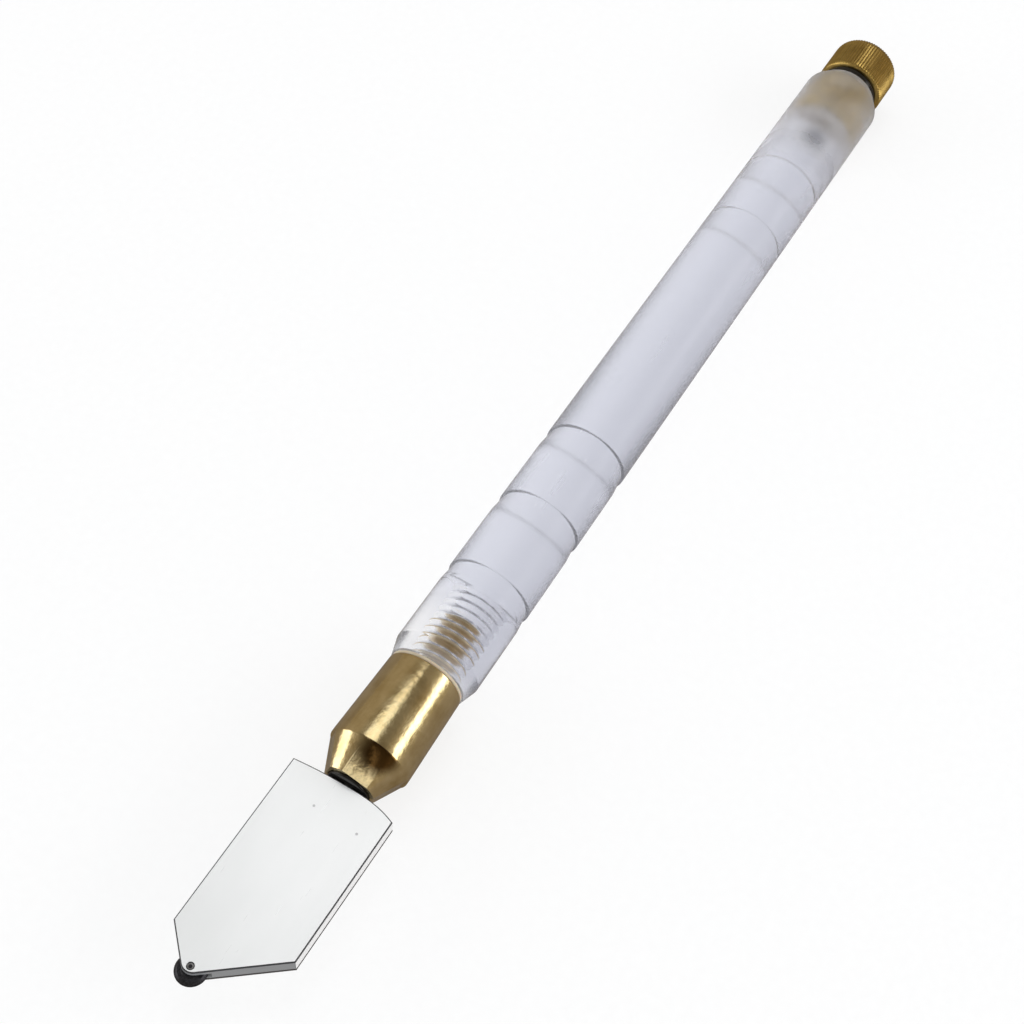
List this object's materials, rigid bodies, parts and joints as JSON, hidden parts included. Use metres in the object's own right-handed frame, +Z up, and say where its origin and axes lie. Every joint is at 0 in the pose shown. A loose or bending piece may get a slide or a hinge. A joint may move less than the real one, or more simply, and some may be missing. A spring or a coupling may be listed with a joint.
{
  "type": "glass cutter",
  "caption": "Oil-feed glass cutter: clear grooved barrel, brass holder, sprung swivelling steel head plate with a small cutting wheel, and a knurled screw-on filler cap.",
  "frame": {"origin": "under the middle of the tool's length, on the surface that the barrel rests on", "axes": "+X along the tool from the cutting wheel to the filler cap, +Z up, square to the head plate's broad face"},
  "size_m": [0.1782, 0.0144, 0.012],
  "materials": {
    "clear_acrylic": "clear, gloss",
    "pale_plastic": "satin",
    "brass": "satin, turned",
    "knurled_brass": "dull, knurled",
    "polished_steel": "bright, finely ground",
    "carbide": "ground, dark",
    "bronze": "turned",
    "black_rubber": "oily gloss",
    "grey_rubber": "matte",
    "nylon": "satin",
    "felt": "felt"
  },
  "bodies": {
    "handle": {"handle": "clear_acrylic"},
    "front_seal": {"front_gasket": "pale_plastic"},
    "holder": {"holder": "brass", "spring_retainer": "brass", "head_spring": "polished_steel", "valve_spring": "polished_steel"},
    "lock_pellet": {"lock_pellet": "nylon"},
    "lock_screw": {"lock_screw": "polished_steel"},
    "carrier": {"slide_bush": "bronze"},
    "head": {"head_plate": "polished_steel", "head_stem": "polished_steel", "retaining_clip": "polished_steel", "wheel_axle": "polished_steel", "oil_wick": "felt", "neck_o_ring": "black_rubber"},
    "wheel": {"cutter_wheel": "carbide"},
    "valve": {"valve_ball": "polished_steel"},
    "cap_seal": {"cap_o_ring": "black_rubber"},
    "cap": {"cap": "knurled_brass", "cap_plug_seal": "grey_rubber"}
  },
  "joints": [
    {"name": "holder_travel", "type": "slide", "parent": "handle", "child": "front_seal", "axis": [-1, 0, 0], "range_m": [0, 0.0092]},
    {"name": "holder_unscrew", "type": "hinge", "parent": "front_seal", "child": "holder", "pos_m": [-0.0423, 0, 0.006], "axis": [-1, 0, 0], "range_deg": [0, 2890]},
    {"name": "lock_travel", "type": "slide", "parent": "holder", "child": "lock_pellet", "axis": [0, 0, -1], "range_m": [0, 0.0009]},
    {"name": "lock_screw_turn", "type": "hinge", "parent": "lock_pellet", "child": "lock_screw", "pos_m": [-0.0532, 0, 0.0019], "axis": [0, 0, -1], "range_deg": [0, 725]},
    {"name": "head_press", "type": "slide", "parent": "holder", "child": "carrier", "axis": [1, 0, 0], "range_m": [0, 0.00035], "stiffness_N_per_m": 1500, "deforming": ["head_spring", "valve_spring"]},
    {"name": "head_swivel", "type": "hinge", "parent": "carrier", "child": "head", "pos_m": [-0.0595, 0, 0.006], "axis": [1, 0, 0], "continuous": true},
    {"name": "wheel_spin", "type": "hinge", "parent": "head", "child": "wheel", "pos_m": [-0.08715, 0.0024, 0.006], "axis": [0, 0, 1], "continuous": true},
    {"name": "valve_lift", "type": "slide", "parent": "holder", "child": "valve", "axis": [1, 0, 0], "range_m": [0, 0.0004]},
    {"name": "cap_travel", "type": "slide", "parent": "handle", "child": "cap_seal", "axis": [1, 0, 0], "range_m": [0, 0.011]},
    {"name": "cap_unscrew", "type": "hinge", "parent": "cap_seal", "child": "cap", "pos_m": [0.08225, 0, 0.006], "axis": [1, 0, 0], "range_deg": [0, 3970]}
  ],
  "couplings": [
    {"joint": "holder_unscrew", "follows": "holder_travel", "rad_per_m": 5463.6},
    {"joint": "lock_screw_turn", "follows": "lock_travel", "rad_per_m": 13963},
    {"joint": "valve_lift", "follows": "head_press", "ratio": 1},
    {"joint": "cap_unscrew", "follows": "cap_travel", "rad_per_m": 6283.2}
  ]
}
